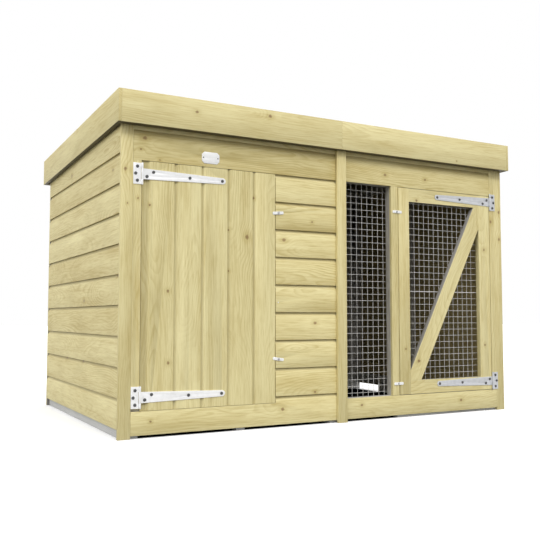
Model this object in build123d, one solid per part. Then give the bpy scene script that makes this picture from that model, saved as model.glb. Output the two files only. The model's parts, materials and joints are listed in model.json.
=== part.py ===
from build123d import *
import math
import os

# Dog kennel and run: a boarded cabin on the left, a wire-mesh run on the right, one pent roof over both.
# All sizes are in millimetres. Pieces are first laid out in wall coordinates: x from the outer face of
# the left wall, y from the front face towards the back, z up from the ground. The save function then
# moves them so that the origin lies on the ground under the middle of the roof, with the front facing -Y.

# Walls and timber stock
WALL_W = 1771.0
WALL_D = 1132.0
BOARD_T = 12.0
FRAME_T = 27.0
FRAME_W = 44.0
CORNER_W = 44.0
BEARER_H = 47.0
BEARER_W = 35.0
PIECE_GAP = 0.5

# Overlapping boards: height that shows, lap behind the next board, and the hollow along the top edge
BOARD_COVER = 104.8
BOARD_LAP = 14.5
LAP_GAP = 0.5
LIP_T = 5.8
TONGUE_FACE = 6.0
COVE_H = 16.0
FRONT_BOARD_START = 10.5
SIDE_BOARD_START = 33.1
DOOR_HEAD_COURSES = 9

# Roof: a pent falling to the back, edged by a fascia
ROOF_FRONT_Z = 1187.0
ROOF_FALL = 27.0
FRONT_OVERHANG = 33.0
REAR_OVERHANG = 55.0
SIDE_OVERHANG = 20.0
FASCIA_T = 12.0
FASCIA_H = 114.0
EDGE_RAIL_RISE = 1.0
FASCIA_LIP = 8.0
FELT_T = 2.0
DECK_T = 12.0
DECK_BOARD_W = 99.6
JOIST_W = 27.0
JOIST_H = 44.0
JOISTS_PER_ROOM = 2

# Front, from the left: kennel door, short boards, cover strip, fixed mesh, latch stud, run door
KENNEL_W = 896.5
COVER_STRIP_W = 43.0
COVER_STRIP_T = 12.0
HINGE_STRIP_W = 29.5
KENNEL_DOOR_GAP = 3.5
KENNEL_DOOR_W = 523.0
KENNEL_LATCH_GAP = 2.5
DOOR_STOP_LAP = 11.5
RUN_HINGE_STRIP_W = 26.0
RUN_DOOR_GAP = 3.0
RUN_DOOR_W = 510.0
RUN_LATCH_GAP = 3.5
LATCH_STUD_W = 34.5
DOOR_FOOT_GAP = 1.5
DOOR_HEAD_GAP = 1.6
HINGE_STRIP_FOOT = 9.0
RUN_LOW_BOARD_TOP = 90.0

# Kennel door: five upright boards on three ledges
DOOR_BOARD_COVER = 103.4
LEDGE_W = 70.0
LEDGE_T = 20.0
LEDGE_INSET = 3.0

# Run door: framed, with one brace and wire mesh behind
RUN_DOOR_T = 21.0
RUN_LATCH_STILE_W = 55.5
RUN_HINGE_STILE_W = 63.0
RUN_TOP_RAIL_W = 56.5
RUN_LOW_RAIL_W = 57.0
BRACE_W = 68.5
BRACE_LEAN = 0.513
BRACE_FOOT_X = 56.5

# Welded wire mesh
MESH_PITCH = 26.6
MESH_WIRE = 1.6
MESH_MARGIN = 14.0
FIXED_MESH_LAP = 12.0
DOOR_MESH_LAP = 10.5
DOOR_MESH_FOOT_LAP = 3.6

# Strap hinges
HINGE_AXIS_OUT = 4.0
KNUCKLE_R = 3.7
PIN_R = 2.0
PIN_CLEARANCE = 0.05
PIN_HEAD_R = 3.2
PIN_HEAD_T = 1.2
KNUCKLE_GAP = 0.3
HINGE_METAL_T = 2.0
PLATE_W = 31.5
PLATE_H = 74.0
STRAP_L = 318.0
STRAP_ROOT_W = 38.0
STRAP_TIP_W = 22.0
KENNEL_AXIS_IN = 2.0
RUN_AXIS_IN = 4.0
KENNEL_HINGE_DROP = 46.0
KENNEL_HINGE_RISE = 46.0
RUN_HINGE_DROP = 26.5
RUN_HINGE_RISE = 37.0
PLATE_SCREW_IN = 17.0
PLATE_SCREW_OUT = 23.5
PLATE_SCREW_RISE = 24.5
STRAP_SCREW_AT = [17.5, 41.5, 177.5, 304.5]
STRAP_SCREW_STAGGER = 8.5

# Screws, nail and turn buttons
SCREW_HEAD_R = 5.6
SCREW_HEAD_T = 3.2
SCREW_RIM_T = 0.9
SCREW_R = 2.0
SCREW_CLEARANCE = 0.05
SCREW_DEPTH = 10.0
SCREW_POINT = 2.0
BUTTON_L = 47.0
BUTTON_H = 11.0
BUTTON_T = 1.2
BUTTON_RISE = 1.5
BUTTON_FOOT = 0.4
BUTTON_FLAT_L = 8.0
BUTTON_FLAT_R = 13.0
BUTTON_STEP = 1.5
BUTTON_CORNER = 3.5
BUTTON_HEAD_R = 4.4
BUTTON_SEAT_GAP = 0.1
KENNEL_BUTTON_PIVOT = 24.0
KENNEL_BUTTON_IN = 13.5
KENNEL_BUTTON_DROP = 147.0
KENNEL_BUTTON_RISE = 161.5
KENNEL_BUTTON_TILTS = [5.0, -8.0]
RUN_BUTTON_PIVOT = 21.0
RUN_BUTTON_OUT = 10.0
RUN_BUTTON_DROP = 104.0
RUN_BUTTON_RISE = 46.0
NAIL_R = 1.0
NAIL_HEAD_R = 2.2
NAIL_HEAD_T = 0.8
NAIL_DROP = 486.0

# Blank name plate on the kennel header
NAME_PLATE_LEFT = 299.0
NAME_PLATE_RISE = 12.5
NAME_PLATE_W = 69.0
NAME_PLATE_H = 42.0
NAME_PLATE_T = 1.5
NAME_PLATE_CUT = 9.0
NAME_SCREW_IN = 6.0
NAME_SCREW_R = 1.2
NAME_SCREW_HEAD_R = 2.4
NAME_SCREW_HEAD_T = 1.0

# Inside: partition with a pop hole, and the floor of the cabin
PARTITION_BACK = 27.0
POP_HOLE_W = 340.0
POP_HOLE_FROM_BACK = 140.0
POP_HOLE_FIRST_COURSE = 1
POP_HOLE_COURSES = 5
FLOOR_T = 12.0
FLOOR_BOARD_W = 105.4
FLOOR_GAP = 0.4
SIDE_STUD_CENTRE = 611.0
RIGHT_SILL_L = 870.0
RUN_FRONT_BEARER_L = 552.0
KENNEL_MID_BEARER_X = 462.5

# Derived: depths of the layers
ROOF_D = FRONT_OVERHANG + WALL_D + REAR_OVERHANG
ROOF_SLOPE = ROOF_FALL / ROOF_D
WALL_FRONT = FRONT_OVERHANG - ROOF_D / 2
DECK_DROP = FASCIA_LIP + FELT_T
WALL_DROP = DECK_DROP + DECK_T
EDGE_RAIL_DROP = FASCIA_H - EDGE_RAIL_RISE
FRAME_FRONT = BOARD_T
FRAME_BACK = BOARD_T + FRAME_T
BACK_FRAME_FRONT = WALL_D - FRAME_BACK
BACK_FRAME_BACK = WALL_D - BOARD_T
RIGHT_FRAME_IN = WALL_W - FRAME_BACK
RIGHT_FRAME_OUT = WALL_W - BOARD_T

# Derived: heights
RAIL_TOP = BEARER_H + FRAME_W
HEADER_Z = FRONT_BOARD_START + DOOR_HEAD_COURSES * BOARD_COVER
DOOR_FOOT_Z = RAIL_TOP + DOOR_FOOT_GAP
DOOR_HEAD_Z = HEADER_Z - DOOR_HEAD_GAP
DOOR_H = DOOR_HEAD_Z - DOOR_FOOT_Z

# Derived: places across the front
HINGE_STRIP_X = CORNER_W + PIECE_GAP
KENNEL_DOOR_X = HINGE_STRIP_X + HINGE_STRIP_W + KENNEL_DOOR_GAP
KENNEL_DOOR_END = KENNEL_DOOR_X + KENNEL_DOOR_W
SHORT_BOARD_X = KENNEL_DOOR_END + KENNEL_LATCH_GAP
COVER_STRIP_X = KENNEL_W - COVER_STRIP_W / 2
MESH_OPENING_X = KENNEL_W + COVER_STRIP_W / 2
RUN_STRIP_END = WALL_W - CORNER_W - PIECE_GAP
RUN_STRIP_X = RUN_STRIP_END - RUN_HINGE_STRIP_W
RUN_DOOR_END = RUN_STRIP_X - RUN_DOOR_GAP
RUN_DOOR_X = RUN_DOOR_END - RUN_DOOR_W
LATCH_STUD_END = RUN_DOOR_X - RUN_LATCH_GAP
LATCH_STUD_X = LATCH_STUD_END - LATCH_STUD_W
KENNEL_AXIS_X = KENNEL_DOOR_X - KENNEL_AXIS_IN
RUN_AXIS_X = RUN_DOOR_END + RUN_AXIS_IN
PARTITION_FRAME_END = KENNEL_W + COVER_STRIP_W / 2 - PARTITION_BACK - BOARD_T
PARTITION_FRAME_X = PARTITION_FRAME_END - FRAME_T
POP_HOLE_END = BACK_FRAME_FRONT - POP_HOLE_FROM_BACK
POP_HOLE_Y = POP_HOLE_END - POP_HOLE_W
POP_HOLE_Z = SIDE_BOARD_START + POP_HOLE_FIRST_COURSE * BOARD_COVER
POP_HOLE_TOP = POP_HOLE_Z + POP_HOLE_COURSES * BOARD_COVER

# Derived: places of the fasteners on the front
KENNEL_HINGE_ZS = [DOOR_HEAD_Z - KENNEL_HINGE_DROP, DOOR_FOOT_Z + KENNEL_HINGE_RISE]
RUN_HINGE_ZS = [DOOR_HEAD_Z - RUN_HINGE_DROP, DOOR_FOOT_Z + RUN_HINGE_RISE]
KENNEL_BUTTON_X = KENNEL_DOOR_END + KENNEL_BUTTON_IN
KENNEL_BUTTON_ZS = [DOOR_HEAD_Z - KENNEL_BUTTON_DROP, DOOR_FOOT_Z + KENNEL_BUTTON_RISE]
RUN_BUTTON_X = RUN_DOOR_X - RUN_BUTTON_OUT
RUN_BUTTON_ZS = [DOOR_HEAD_Z - RUN_BUTTON_DROP, DOOR_FOOT_Z + RUN_BUTTON_RISE]
BUTTON_FACE = BUTTON_FOOT + BUTTON_T + BUTTON_RISE
NAIL_Z = DOOR_HEAD_Z - NAIL_DROP
NAME_PLATE_Z = HEADER_Z + NAME_PLATE_RISE + NAME_PLATE_H / 2
NAME_SCREW_SPOTS = [
    (NAME_PLATE_LEFT + NAME_SCREW_IN, NAME_PLATE_Z),
    (NAME_PLATE_LEFT + NAME_PLATE_W - NAME_SCREW_IN, NAME_PLATE_Z),
]
PLATE_SCREWS = [
    (-PLATE_SCREW_IN, PLATE_SCREW_RISE),
    (-PLATE_SCREW_OUT, 0.0),
    (-PLATE_SCREW_IN, -PLATE_SCREW_RISE),
]
STRAP_SCREWS = [
    (STRAP_SCREW_AT[0], -STRAP_SCREW_STAGGER),
    (STRAP_SCREW_AT[1], STRAP_SCREW_STAGGER),
    (STRAP_SCREW_AT[2], 0.0),
    (STRAP_SCREW_AT[3], 0.0),
]

saved_nodes = []


def save(node, solids):
    """Move one sub-part from wall coordinates to the model's own and write it."""
    moved = [Pos(-WALL_W / 2, WALL_FRONT, 0) * solid for solid in solids]
    export_step(Compound(children=moved) if len(moved) > 1 else moved[0], f"parts/{node}.step")
    saved_nodes.append(node)


def block(x0, x1, y0, y1, z0, z1):
    """A straight piece of timber between two corners."""
    return Pos((x0 + x1) / 2, (y0 + y1) / 2, (z0 + z1) / 2) * Box(x1 - x0, y1 - y0, z1 - z0)


def prism(plane, points, depth):
    """A flat outline on a plane, given a thickness along the plane's normal."""
    return extrude(plane * make_face(Polyline(*points, close=True)), amount=depth)


def roof_line(y, drop=0.0):
    """Height of the fascia's top edge at a distance from the front, less a drop."""
    return ROOF_FRONT_Z - ROOF_SLOPE * (y + FRONT_OVERHANG) - drop


def slab(x0, x1, y0, y1, drop, thick):
    """A piece that lies along the roof's fall, its top a given drop below the fascia's top edge."""
    outline = [
        (y0, roof_line(y0, drop + thick)),
        (y1, roof_line(y1, drop + thick)),
        (y1, roof_line(y1, drop)),
        (y0, roof_line(y0, drop)),
    ]
    return prism(Plane.YZ.offset(x0), outline, x1 - x0)


def under_roof(solid):
    """Cut off what would stand above the underside of the roof boards."""
    spare = FASCIA_H + ROOF_FALL
    above = slab(-spare, WALL_W + spare, -spare, WALL_D + spare, WALL_DROP - spare, spare)
    return solid - above


def shiplap(length, cover=BOARD_COVER):
    """One overlapping board along +X, its face at y = 0 and the lower edge of its lip at z = 0."""
    tongue_top = cover + BOARD_LAP - LAP_GAP
    section = Wire([
        Line((0, 0), (0, cover - COVE_H)),
        TangentArc((TONGUE_FACE, cover), (0, cover - COVE_H), tangent=(0, -1)),
        Line((TONGUE_FACE, cover), (TONGUE_FACE, tongue_top)),
        Line((TONGUE_FACE, tongue_top), (BOARD_T, tongue_top)),
        Line((BOARD_T, tongue_top), (BOARD_T, BOARD_LAP)),
        Line((BOARD_T, BOARD_LAP), (LIP_T, BOARD_LAP)),
        Line((LIP_T, BOARD_LAP), (LIP_T, 0)),
        Line((LIP_T, 0), (0, 0)),
    ])
    return extrude(Plane.YZ * make_face(section), amount=length)


def courses(start_z, top_z):
    """Heights of the lower edges of a stack of boards, the last one's tongue reaching the top if it can."""
    count = math.ceil((top_z - start_z - BOARD_LAP) / BOARD_COVER)
    return [start_z + k * BOARD_COVER for k in range(count)]


def front_boards(x0, x1, start_z, top_z):
    """A stack of boards on the front, cut level at its top."""
    limit = block(x0, x1, 0, BOARD_T, start_z, top_z)
    return [(Pos(x0, 0, z) * shiplap(x1 - x0)) & limit for z in courses(start_z, top_z)]


def screw(x, z, seat, depth=SCREW_DEPTH, radius=SCREW_R, head_r=SCREW_HEAD_R, head_t=SCREW_HEAD_T):
    """A domed screw driven into the front: its head stands out from y = -seat."""
    rim = min(SCREW_RIM_T, head_t / 2)
    reach = seat + depth
    section = Wire([
        Line((0, -reach), (radius, SCREW_POINT - reach)),
        Line((radius, SCREW_POINT - reach), (radius, 0)),
        Line((radius, 0), (head_r, 0)),
        Line((head_r, 0), (head_r, rim)),
        TangentArc((0, head_t), (head_r, rim), tangent=(1, 0)),
        Line((0, head_t), (0, -reach)),
    ])
    turned = revolve(Plane.XZ * make_face(section), Axis.Z)
    return Pos(x, -seat, z) * Rot(90, 0, 0) * turned


def pilot(x, z, radius=SCREW_R):
    """The hole that a screw goes into, from well in front of the face."""
    depth = SCREW_DEPTH + PIECE_GAP
    return Pos(x, depth / 2 - SCREW_DEPTH, z) * Rot(90, 0, 0) * Cylinder(
        radius + SCREW_CLEARANCE, depth + 2 * SCREW_DEPTH)


def drilled(solid, spots, radius=SCREW_R):
    """A piece with a screw hole at each (x, z) spot that lies on it."""
    box = solid.bounding_box()
    for x, z in spots:
        near_x = box.min.X - radius < x < box.max.X + radius
        near_z = box.min.Z - radius < z < box.max.Z + radius
        if near_x and near_z:
            solid = solid - pilot(x, z, radius)
    return solid


def hinge_spots(axis_x, side, z, spots):
    """Places on the front of a hinge's screws: side is 1 where the strap runs to the right, else -1."""
    return [(axis_x + side * along, z + side * rise) for along, rise in spots]


def hinge_at(shape, axis_x, side, z):
    """Put a hinge piece, modelled with its strap to the right of the pin, in its place."""
    turn = 0 if side > 0 else 180
    return Pos(axis_x, -HINGE_AXIS_OUT, z) * Rot(0, turn, 0) * shape


def knuckle(z0, z1):
    """A rolled barrel about the pin."""
    return Pos(0, 0, (z0 + z1) / 2) * Cylinder(KNUCKLE_R, z1 - z0)


def pin_bore():
    """The hole through the barrels."""
    return Cylinder(PIN_R + PIN_CLEARANCE, 2 * PLATE_H)


def punched(shape, spots):
    """Screw holes through a hinge leaf."""
    for along, rise in spots:
        shape = shape - Pos(along, HINGE_AXIS_OUT, rise) * Rot(90, 0, 0) * Cylinder(
            SCREW_R + SCREW_CLEARANCE, 4 * HINGE_METAL_T)
    return shape


def hinge_plate():
    """The short upright leaf with the two outer barrels."""
    near, far = HINGE_AXIS_OUT - HINGE_METAL_T, HINGE_AXIS_OUT
    inner = STRAP_ROOT_W / 2 + KNUCKLE_GAP
    leaf = block(-PLATE_W, -KNUCKLE_R - 2 * KNUCKLE_GAP, near, far, -PLATE_H / 2, PLATE_H / 2)
    for z0, z1 in ((-PLATE_H / 2, -inner), (inner, PLATE_H / 2)):
        leaf = leaf + block(-KNUCKLE_R - 3 * KNUCKLE_GAP, 0, near, far, z0, z1) + knuckle(z0, z1)
    return punched(leaf - pin_bore(), PLATE_SCREWS)


def hinge_strap():
    """The long tapered leaf with the middle barrel and a rounded tip."""
    near, far = HINGE_AXIS_OUT - HINGE_METAL_T, HINGE_AXIS_OUT
    root, tip = STRAP_ROOT_W / 2, STRAP_TIP_W / 2
    bend = STRAP_L - tip
    outline = [(0, -root), (bend, -tip), (bend, tip), (0, root)]
    leaf = prism(Plane.XZ.offset(-far), outline, HINGE_METAL_T)
    nose = Pos(bend, (near + far) / 2, 0) * Rot(90, 0, 0) * Cylinder(tip, HINGE_METAL_T)
    leaf = leaf + nose + knuckle(-root, root)
    return punched(leaf - pin_bore(), STRAP_SCREWS)


def hinge_pin():
    """The pin with a riveted head at each end."""
    half = PLATE_H / 2 + KNUCKLE_GAP
    pin = Cylinder(PIN_R, 2 * half)
    for end in (-1, 1):
        pin = pin + Pos(0, 0, end * (half + PIN_HEAD_T / 2)) * Cylinder(PIN_HEAD_R, PIN_HEAD_T)
    return pin


def turn_button(x, z, pivot, tilt):
    """A pressed metal catch with a raised middle, turned about a screw at its pivot from the left tip."""
    low, face = BUTTON_FOOT, BUTTON_FOOT + BUTTON_T
    left, right = BUTTON_FLAT_L, BUTTON_L - BUTTON_FLAT_R
    outline = [
        (0, low), (0, face), (left - BUTTON_STEP, face), (left, face + BUTTON_RISE),
        (right, face + BUTTON_RISE), (right + BUTTON_STEP, face), (BUTTON_L, face), (BUTTON_L, low),
        (right + BUTTON_STEP / 2, low), (right - BUTTON_STEP / 2, low + BUTTON_RISE),
        (left + BUTTON_STEP / 2, low + BUTTON_RISE), (left - BUTTON_STEP / 2, low),
    ]
    pressed = prism(Plane.XY.offset(-BUTTON_H / 2), [(u, -out) for u, out in outline], BUTTON_H)
    face_shape = RectangleRounded(BUTTON_L, BUTTON_H, BUTTON_CORNER)
    blank = Rot(90, 0, 0) * extrude(face_shape, amount=BUTTON_L, both=True)
    pressed = pressed & (Pos(BUTTON_L / 2, 0, 0) * blank)
    bore = Rot(90, 0, 0) * Cylinder(SCREW_R + SCREW_CLEARANCE, 4 * BUTTON_FACE)
    pressed = pressed - Pos(pivot, 0, 0) * bore
    return Pos(x, 0, z) * Rot(0, -tilt, 0) * Pos(-pivot, 0, 0) * pressed


def wire_mesh(x0, z0, columns, rows, y_front, left_margin=0.0, right_margin=0.0):
    """One flat welded sheet: wires along the edges of square gaps, with a plain margin to lap a post."""
    width = columns * MESH_PITCH + MESH_WIRE
    height = rows * MESH_PITCH + MESH_WIRE
    gap = MESH_PITCH - MESH_WIRE
    sheet = Pos((right_margin - left_margin) / 2, 0) * Rectangle(width + left_margin + right_margin, height)
    sheet = sheet - GridLocations(MESH_PITCH, MESH_PITCH, columns, rows) * Rectangle(gap, gap)
    centre = Pos(x0 + (width - MESH_WIRE) / 2, y_front, z0 + (height - MESH_WIRE) / 2)
    return centre * extrude(Rot(90, 0, 0) * sheet, amount=-MESH_WIRE)


def make_base():
    """Bearers on the ground and the floor of the cabin."""
    mid = KENNEL_MID_BEARER_X - BEARER_W / 2
    last = PARTITION_FRAME_X - (BEARER_W - FRAME_T) / 2
    starts = [FRAME_BACK, mid, last]
    save("kennel_bearers", [
        block(x, x + BEARER_W, BOARD_T, BACK_FRAME_FRONT, 0, BEARER_H) for x in starts])
    save("side_sills", [
        block(BOARD_T, FRAME_BACK, BOARD_T, BACK_FRAME_BACK, 0, BEARER_H),
        block(RIGHT_FRAME_IN, RIGHT_FRAME_OUT, BOARD_T, BOARD_T + RIGHT_SILL_L, 0, BEARER_H)])
    save("rear_bearer", [block(FRAME_BACK, RIGHT_FRAME_OUT, BACK_FRAME_FRONT, BACK_FRAME_BACK, 0, BEARER_H)])
    save("run_front_bearer", [
        block(RIGHT_FRAME_IN - RUN_FRONT_BEARER_L, RIGHT_FRAME_IN, FRAME_FRONT, FRAME_BACK, 0, BEARER_H)])
    room = BACK_FRAME_FRONT - FRAME_BACK
    count = round(room / FLOOR_BOARD_W)
    pitch = room / count
    save("kennel_floor_boards", [
        block(FRAME_BACK, PARTITION_FRAME_X, FRAME_BACK + k * pitch, FRAME_BACK + (k + 1) * pitch - FLOOR_GAP,
              BEARER_H, BEARER_H + FLOOR_T) for k in range(count)])


def make_front_frame():
    """The studs and rails behind the front boards."""
    top = roof_line(FRAME_BACK, WALL_DROP)
    plate_z = top - FRAME_W
    studs = [
        (FRAME_BACK, FRAME_BACK + FRAME_W),
        (KENNEL_DOOR_END - DOOR_STOP_LAP, KENNEL_DOOR_END - DOOR_STOP_LAP + FRAME_W),
        (MESH_OPENING_X - FRAME_W, MESH_OPENING_X),
        (LATCH_STUD_X, LATCH_STUD_END),
        (RUN_STRIP_X - PIECE_GAP, RIGHT_FRAME_IN),
    ]
    save("front_frame_studs", [
        block(x0, x1, FRAME_FRONT, FRAME_BACK, RAIL_TOP, plate_z) for x0, x1 in studs])
    rails = [
        block(FRAME_BACK, RIGHT_FRAME_IN, FRAME_FRONT, FRAME_BACK, BEARER_H, RAIL_TOP),
        block(FRAME_BACK, RIGHT_FRAME_IN, FRAME_FRONT, FRAME_BACK, plate_z, top),
    ]
    for left, right in zip(studs[:-1], studs[1:]):
        rails.append(block(left[1], right[0], FRAME_FRONT, FRAME_BACK, HEADER_Z, HEADER_Z + FRAME_W))
    save("front_frame_rails", rails)


def side_frame(x0, x1):
    """A side wall's frame: two rails and three studs."""
    top_rail = slab(x0, x1, FRAME_FRONT, BACK_FRAME_BACK, WALL_DROP, FRAME_W)
    solids = [block(x0, x1, FRAME_FRONT, BACK_FRAME_BACK, BEARER_H, RAIL_TOP), top_rail]
    mid = SIDE_STUD_CENTRE - FRAME_W / 2
    for y0 in (FRAME_FRONT, mid, BACK_FRAME_BACK - FRAME_W):
        y1 = y0 + FRAME_W
        outline = [
            (y0, RAIL_TOP), (y1, RAIL_TOP),
            (y1, roof_line(y1, WALL_DROP + FRAME_W)), (y0, roof_line(y0, WALL_DROP + FRAME_W)),
        ]
        solids.append(prism(Plane.YZ.offset(x0), outline, x1 - x0))
    return solids


def make_wall_frames():
    """Frames of the two sides, the back and the partition."""
    save("left_wall_frame", side_frame(BOARD_T, FRAME_BACK))
    save("right_wall_frame", side_frame(RIGHT_FRAME_IN, RIGHT_FRAME_OUT))
    top = roof_line(BACK_FRAME_BACK, WALL_DROP)
    y0, y1 = BACK_FRAME_FRONT, BACK_FRAME_BACK
    solids = [
        block(FRAME_BACK, RIGHT_FRAME_IN, y0, y1, BEARER_H, RAIL_TOP),
        block(FRAME_BACK, RIGHT_FRAME_IN, y0, y1, top - FRAME_W, top),
    ]
    middle = (PARTITION_FRAME_X + PARTITION_FRAME_END) / 2
    centres = [
        FRAME_BACK + FRAME_W / 2, (FRAME_BACK + middle) / 2, middle,
        (middle + RIGHT_FRAME_IN) / 2, RIGHT_FRAME_IN - FRAME_W / 2,
    ]
    for x in centres:
        solids.append(block(x - FRAME_W / 2, x + FRAME_W / 2, y0, y1, RAIL_TOP, top - FRAME_W))
    save("back_wall_frame", solids)

    x0, x1 = PARTITION_FRAME_X, PARTITION_FRAME_END
    head = roof_line(BACK_FRAME_FRONT, WALL_DROP) - FRAME_W
    solids = [
        block(x0, x1, FRAME_BACK, BACK_FRAME_FRONT, BEARER_H, RAIL_TOP),
        block(x0, x1, FRAME_BACK, BACK_FRAME_FRONT, head, head + FRAME_W),
    ]
    starts = [FRAME_BACK, POP_HOLE_Y - FRAME_W, POP_HOLE_END, BACK_FRAME_FRONT - FRAME_W]
    for y in starts:
        solids.append(block(x0, x1, y, y + FRAME_W, RAIL_TOP, head))
    for z in (POP_HOLE_Z - FRAME_W, POP_HOLE_TOP):
        solids.append(block(x0, x1, POP_HOLE_Y, POP_HOLE_END, z, z + FRAME_W))
    save("partition_frame", solids)


def make_wall_boards():
    """Boards of the sides, the back and the partition."""
    side_length = WALL_D - 2 * BOARD_T
    heights = courses(SIDE_BOARD_START, roof_line(0, WALL_DROP))
    rear_heights = courses(SIDE_BOARD_START, roof_line(WALL_D, WALL_DROP))
    side = shiplap(side_length)
    left = [Pos(0, WALL_D - BOARD_T, z) * Rot(0, 0, -90) * side for z in heights]
    right = [Pos(WALL_W, BOARD_T, z) * Rot(0, 0, 90) * side for z in heights]
    rear = shiplap(WALL_W - 2 * CORNER_W - 2 * PIECE_GAP)
    back = [Pos(WALL_W - CORNER_W - PIECE_GAP, WALL_D, z) * Rot(0, 0, 180) * rear for z in rear_heights]
    walls = [("left_wall_boards", left), ("right_wall_boards", right), ("back_wall_boards", back)]
    for name, boards in walls:
        save(name, boards[:-1] + [under_roof(boards[-1])])

    face_x = PARTITION_FRAME_END + BOARD_T
    top = roof_line(BACK_FRAME_FRONT, WALL_DROP)
    limit = block(PARTITION_FRAME_END, face_x, FRAME_BACK, BACK_FRAME_FRONT, SIDE_BOARD_START, top)
    inner = shiplap(BACK_FRAME_FRONT - FRAME_BACK)
    hole = block(0, WALL_W, POP_HOLE_Y, POP_HOLE_END, POP_HOLE_Z, POP_HOLE_TOP)
    boards = []
    for z in courses(SIDE_BOARD_START, top):
        board = ((Pos(face_x, FRAME_BACK, z) * Rot(0, 0, 90) * inner) & limit) - hole
        boards.extend(board.solids())
    save("partition_boards", boards)


def make_front_boards():
    """Boards and flat strips of the front."""
    wall_top = roof_line(BOARD_T, WALL_DROP)
    first = HINGE_STRIP_X
    kennel_end = KENNEL_W - PIECE_GAP / 2
    run_start = KENNEL_W + PIECE_GAP / 2
    hinge_spots_left = [
        spot for z in KENNEL_HINGE_ZS for spot in hinge_spots(KENNEL_AXIS_X, 1, z, PLATE_SCREWS)]
    hinge_spots_right = [
        spot for z in RUN_HINGE_ZS for spot in hinge_spots(RUN_AXIS_X, -1, z, PLATE_SCREWS)]
    header = front_boards(first, kennel_end, HEADER_Z, wall_top)
    save("kennel_header_boards", [drilled(board, NAME_SCREW_SPOTS, NAME_SCREW_R) for board in header])
    save("run_header_boards", front_boards(run_start, RUN_STRIP_X - PIECE_GAP, HEADER_Z, wall_top))

    short = front_boards(SHORT_BOARD_X, MESH_OPENING_X, FRONT_BOARD_START + BOARD_COVER, HEADER_Z)
    button_spots = [(KENNEL_BUTTON_X, z) for z in KENNEL_BUTTON_ZS]
    short = [drilled(board, button_spots) for board in short]
    short = [drilled(board, [(KENNEL_BUTTON_X, NAIL_Z)], NAIL_R) for board in short]
    save("kennel_short_boards", short)

    low = front_boards(first, kennel_end, FRONT_BOARD_START, FRONT_BOARD_START + BOARD_COVER)[0]
    notch = block(first - PIECE_GAP, SHORT_BOARD_X, -BOARD_T, 2 * BOARD_T, RAIL_TOP, RAIL_TOP + BOARD_COVER)
    save("kennel_low_board", [low - notch])
    save("run_low_board", [
        block(run_start, RUN_STRIP_END, 0, BOARD_T, FRONT_BOARD_START, RUN_LOW_BOARD_TOP)])

    strip = block(first, first + HINGE_STRIP_W, 0, BOARD_T, RAIL_TOP + HINGE_STRIP_FOOT, HEADER_Z)
    save("kennel_hinge_strip", [drilled(strip, hinge_spots_left)])
    strip = block(RUN_STRIP_X, RUN_STRIP_END, 0, BOARD_T, RAIL_TOP, wall_top)
    save("run_hinge_strip", [drilled(strip, hinge_spots_right)])
    strip = block(LATCH_STUD_X, LATCH_STUD_END, 0, BOARD_T, RAIL_TOP, HEADER_Z)
    save("run_latch_strip", [drilled(strip, [(RUN_BUTTON_X, z) for z in RUN_BUTTON_ZS])])
    strip_top = roof_line(0, EDGE_RAIL_DROP) - PIECE_GAP / 2
    strip = block(COVER_STRIP_X, COVER_STRIP_X + COVER_STRIP_W, -COVER_STRIP_T, 0, 0, strip_top)
    save("centre_cover_strip", [strip])

    strip = block(0, CORNER_W, 0, BOARD_T, 0, wall_top)
    save("front_left_corner_strip", [drilled(strip, hinge_spots_left)])
    strip = block(WALL_W - CORNER_W, WALL_W, 0, BOARD_T, 0, wall_top)
    save("front_right_corner_strip", [drilled(strip, hinge_spots_right)])
    rear_top = roof_line(WALL_D, WALL_DROP)
    save("rear_corner_strips", [
        block(x, x + CORNER_W, WALL_D - BOARD_T, WALL_D, 0, rear_top) for x in (0, WALL_W - CORNER_W)])


def make_roof():
    """Joists, roof boards, felt, the rails round the edge and the fascia on them."""
    rooms = [(FRAME_BACK, PARTITION_FRAME_X), (PARTITION_FRAME_END + BOARD_T, RIGHT_FRAME_IN)]
    joists = []
    for x0, x1 in rooms:
        for k in range(1, JOISTS_PER_ROOM + 1):
            x = x0 + (x1 - x0) * k / (JOISTS_PER_ROOM + 1) - JOIST_W / 2
            joists.append(slab(x, x + JOIST_W, FRAME_BACK, BACK_FRAME_FRONT, WALL_DROP, JOIST_H))
    save("roof_joists", joists)

    left, right = -SIDE_OVERHANG, WALL_W + SIDE_OVERHANG
    front, back = -FRONT_OVERHANG, WALL_D + REAR_OVERHANG
    x0, x1, y0, y1 = left + FASCIA_T, right - FASCIA_T, front + FASCIA_T, back - FASCIA_T
    count = round((y1 - y0) / DECK_BOARD_W)
    pitch = (y1 - y0) / count
    ends = [y0 + k * pitch - FLOOR_GAP for k in range(1, count)] + [y1]
    save("roof_deck_boards", [
        slab(x0, x1, y0 + k * pitch, end, DECK_DROP, DECK_T) for k, end in enumerate(ends)])
    save("roof_felt", [slab(x0, x1, y0, y1, FASCIA_LIP, FELT_T)])

    depth = EDGE_RAIL_DROP - WALL_DROP
    save("roof_edge_rails", [
        slab(x0, x1, y0, 0, WALL_DROP, depth),
        slab(x0, x1, WALL_D, y1, WALL_DROP, depth),
        slab(x0, 0, 0, WALL_D, WALL_DROP, depth),
        slab(WALL_W, x1, 0, WALL_D, WALL_DROP, depth)])

    middle = (left + right) / 2
    save("front_fascia_boards", [
        slab(x0, middle - PIECE_GAP / 2, front, y0, 0, FASCIA_H),
        slab(middle + PIECE_GAP / 2, x1, front, y0, 0, FASCIA_H)])
    save("left_fascia_board", [slab(left, x0, front, back, 0, FASCIA_H)])
    save("right_fascia_board", [slab(x1, right, front, back, 0, FASCIA_H)])
    save("back_fascia_board", [slab(x0, x1, y1, back, 0, FASCIA_H)])


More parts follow.
